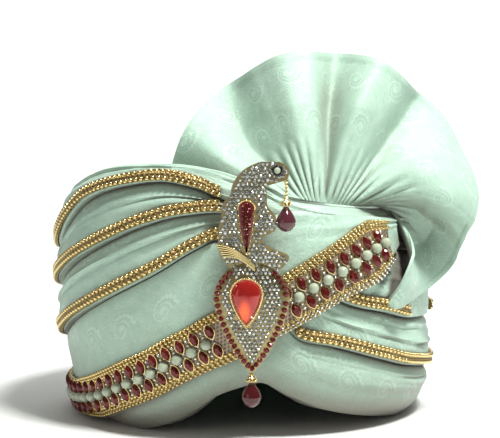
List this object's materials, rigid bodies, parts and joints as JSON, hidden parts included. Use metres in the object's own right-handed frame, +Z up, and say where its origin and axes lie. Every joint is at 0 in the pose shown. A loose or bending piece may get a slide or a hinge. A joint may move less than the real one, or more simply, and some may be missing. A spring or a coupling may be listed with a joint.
{
  "type": "tied turban pagri",
  "caption": "Ready-tied turban of wound satin wraps with bead trims, a diagonal jewelled band, a pleated fan and a brooch.",
  "frame": {"origin": "centre of the bounding box at floor level, under the rim", "axes": "+Z up, the front with the brooch faces -Y, +X is the viewer's right"},
  "size_m": [0.2814, 0.2914, 0.2368],
  "materials": {
    "cloth": "pale mint jacquard satin",
    "gold_beads": "gold bead braid",
    "jewel_field": "maroon stones and pearls on a sewn strip",
    "brooch_metal": "gold plated, set with small clear stones",
    "red_stone": "faceted red stone",
    "maroon_stone": "polished maroon",
    "pearl": "pearl lustre"
  },
  "bodies": {
    "root": {"crown": "cloth", "top_roll": "cloth", "second_wrap": "cloth", "third_wrap": "cloth", "rim_wrap": "cloth", "sash": "cloth", "fan": "cloth", "top_trim": "gold_beads", "middle_trim": "gold_beads", "lower_trim": "gold_beads", "right_trim": "gold_beads", "band_upper_trim": "gold_beads", "band_lower_trim": "gold_beads", "jewel_band": "jewel_field", "brooch_frame": "brooch_metal", "brooch_pin": "brooch_metal", "centre_stone": "red_stone", "plume_inlay": "maroon_stone", "eye_bead": "pearl", "drop_link": "brooch_metal", "drop_cap": "brooch_metal", "drop": "maroon_stone", "lower_drop_cap": "brooch_metal", "lower_drop": "maroon_stone"}
  },
  "joints": []
}
